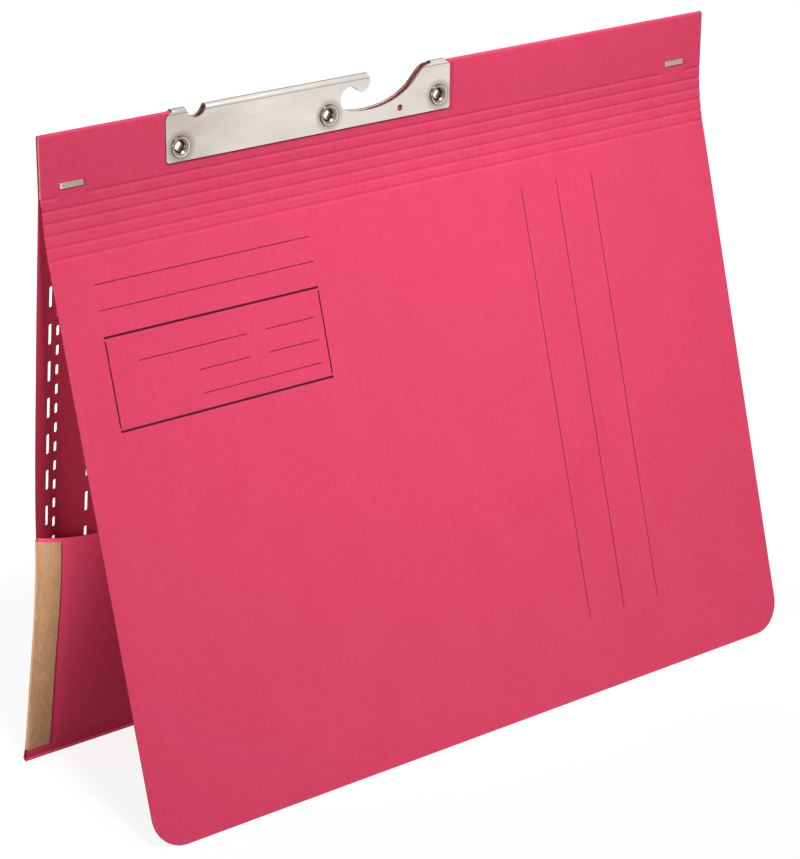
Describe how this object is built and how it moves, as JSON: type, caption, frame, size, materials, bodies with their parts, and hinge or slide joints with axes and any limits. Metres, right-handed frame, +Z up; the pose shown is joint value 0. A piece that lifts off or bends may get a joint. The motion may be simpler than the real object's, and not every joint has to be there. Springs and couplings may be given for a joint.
{
  "type": "hanging fastener folder",
  "caption": "Coloured card folder standing open as a tent, with a riveted metal hook rail on its spine, scored front cover, slotted back cover, taped pocket and paper fastener.",
  "frame": {"origin": "on the standing surface, under the middle of the folder's footprint", "axes": "+X along the spine to the viewer's right, -Y out of the front cover, +Z up"},
  "size_m": [0.3186, 0.0916, 0.255],
  "materials": {
    "red_card": "uncoated dyed board, mottled, matt",
    "grey_board": "raw grey board",
    "nickel_sheet": "nickel plated, satin",
    "staple_wire": "flat galvanised wire",
    "tin_sheet": "tinned sheet, satin",
    "kraft_tape": "brown gummed paper tape, matt"
  },
  "bodies": {
    "spine": {"spine_card": "red_card", "spine_core_board": "grey_board", "hanger_rail": "nickel_sheet", "rivet_left": "nickel_sheet", "rivet_middle": "nickel_sheet", "rivet_right": "nickel_sheet", "staple_left": "staple_wire", "staple_right": "staple_wire"},
    "front_strip_1": {"front_strip_1": "red_card"},
    "front_strip_2": {"front_strip_2": "red_card"},
    "front_strip_3": {"front_strip_3": "red_card"},
    "front_strip_4": {"front_strip_4": "red_card"},
    "front_strip_5": {"front_strip_5": "red_card"},
    "front_cover": {"front_cover_panel": "red_card"},
    "back_cover": {"back_cover_panel": "red_card", "pocket_flap": "red_card", "pocket_tape_left": "kraft_tape", "pocket_tape_right": "kraft_tape", "fastener_prong_strip": "tin_sheet", "fastener_cover_bar": "tin_sheet"},
    "slider_left": {"fastener_slider_left": "tin_sheet"},
    "slider_right": {"fastener_slider_right": "tin_sheet"}
  },
  "joints": [
    {"name": "front_score_1", "type": "hinge", "parent": "spine", "child": "front_strip_1", "pos_m": [0, 0.01788, 0.23106], "axis": [-1, 0, 0], "range_deg": [-1.35, 24.82]},
    {"name": "front_score_2", "type": "hinge", "parent": "front_strip_1", "child": "front_strip_2", "pos_m": [0, 0.01768, 0.22664], "axis": [-1, 0, 0], "range_deg": [-1.35, 24.82]},
    {"name": "front_score_3", "type": "hinge", "parent": "front_strip_2", "child": "front_strip_3", "pos_m": [0, 0.01726, 0.22224], "axis": [-1, 0, 0], "range_deg": [-1.35, 24.82]},
    {"name": "front_score_4", "type": "hinge", "parent": "front_strip_3", "child": "front_strip_4", "pos_m": [0, 0.01664, 0.21787], "axis": [-1, 0, 0], "range_deg": [-1.35, 24.82]},
    {"name": "front_score_5", "type": "hinge", "parent": "front_strip_4", "child": "front_strip_5", "pos_m": [0, 0.01582, 0.21352], "axis": [-1, 0, 0], "range_deg": [-1.35, 24.82]},
    {"name": "front_score_6", "type": "hinge", "parent": "front_strip_5", "child": "front_cover", "pos_m": [0, 0.0148, 0.20922], "axis": [-1, 0, 0], "range_deg": [-1.35, 24.82]},
    {"name": "back_score", "type": "hinge", "parent": "spine", "child": "back_cover", "pos_m": [0, 0.01986, 0.23106], "axis": [1, 0, 0], "range_deg": [-6.43, 158.5]},
    {"name": "slider_left_slide", "type": "slide", "parent": "back_cover", "child": "slider_left", "axis": [1, 0, 0], "range_m": [-0.009, 0.019]},
    {"name": "slider_right_slide", "type": "slide", "parent": "back_cover", "child": "slider_right", "axis": [-1, 0, 0], "range_m": [-0.009, 0.019]}
  ]
}
